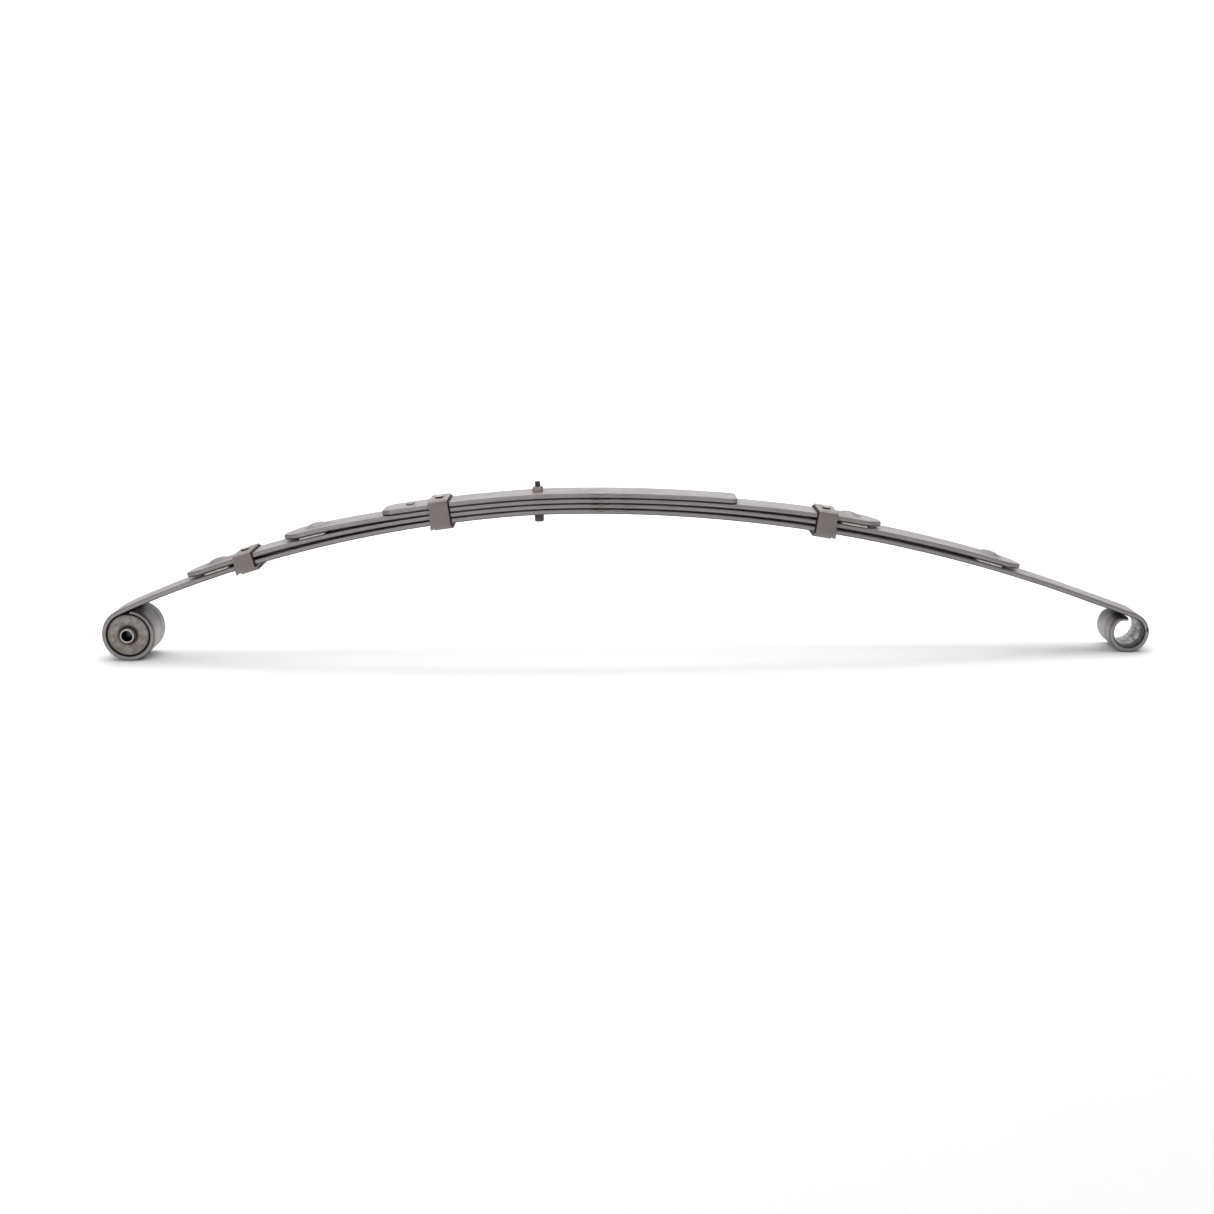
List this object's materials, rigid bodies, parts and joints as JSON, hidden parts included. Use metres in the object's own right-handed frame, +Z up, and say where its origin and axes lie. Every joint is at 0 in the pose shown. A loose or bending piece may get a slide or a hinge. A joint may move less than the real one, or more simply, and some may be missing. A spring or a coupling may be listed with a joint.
{
  "type": "leaf spring",
  "caption": "Curved car leaf spring: stacked steel leaves on a centre bolt, riveted strap clamps, anti-squeak tip pads, a bushed front eye and a plain rear eye",
  "frame": {"origin": "middle of the base of the whole spring, on the floor under both eyes", "axes": "+X runs from the front eye to the rear eye, +Y across the leaves, +Z up through the arch"},
  "size_m": [1.4074, 0.076, 0.2349],
  "materials": {
    "leaf_steel": "bare brushed spring steel, matt grey",
    "clamp_steel": "bare pressed strip, matt grey",
    "fixing_steel": "dull machined steel",
    "sleeve_steel": "smooth turned steel",
    "pad_plastic": "pale grey moulded plastic",
    "liner_rubber": "black rubber strip",
    "bush_rubber": "grey-brown dusty rubber"
  },
  "bodies": {
    "main_leaf_and_eyes": {"front_eye": "leaf_steel", "main_leaf_front": "leaf_steel", "main_leaf_rear": "leaf_steel", "rear_eye": "leaf_steel", "bush_shell": "fixing_steel", "bush_rubber": "bush_rubber"},
    "leaf_pack": {"second_leaf": "leaf_steel", "third_leaf": "leaf_steel", "fourth_leaf": "leaf_steel", "second_leaf_front_pad": "pad_plastic", "second_leaf_rear_pad": "pad_plastic", "third_leaf_front_pad": "pad_plastic", "third_leaf_rear_pad": "pad_plastic", "fourth_leaf_button": "leaf_steel", "centre_bolt": "fixing_steel", "centre_nut": "fixing_steel", "front_outer_clamp": "clamp_steel", "front_inner_clamp": "clamp_steel", "rear_clamp": "clamp_steel", "front_outer_clamp_liner": "liner_rubber", "front_inner_clamp_liner": "liner_rubber", "rear_clamp_liner": "liner_rubber", "front_outer_clamp_rivet": "fixing_steel", "front_inner_clamp_rivet": "fixing_steel", "rear_clamp_rivet": "fixing_steel"},
    "sleeve": {"bush_sleeve": "sleeve_steel"}
  },
  "joints": [
    {"name": "spring_flex", "type": "slide", "parent": "main_leaf_and_eyes", "child": "leaf_pack", "axis": [0, 0, -1], "range_m": [0, 0.1], "stiffness_N_per_m": 20000, "springref_m": -0.004, "deforming": ["main_leaf_front", "main_leaf_rear"]},
    {"name": "bush_twist", "type": "hinge", "parent": "main_leaf_and_eyes", "child": "sleeve", "pos_m": [-0.66827, 0, 0.03531], "axis": [0, 1, 0], "range_deg": [-20, 20], "stiffness_Nm_per_rad": 60}
  ]
}
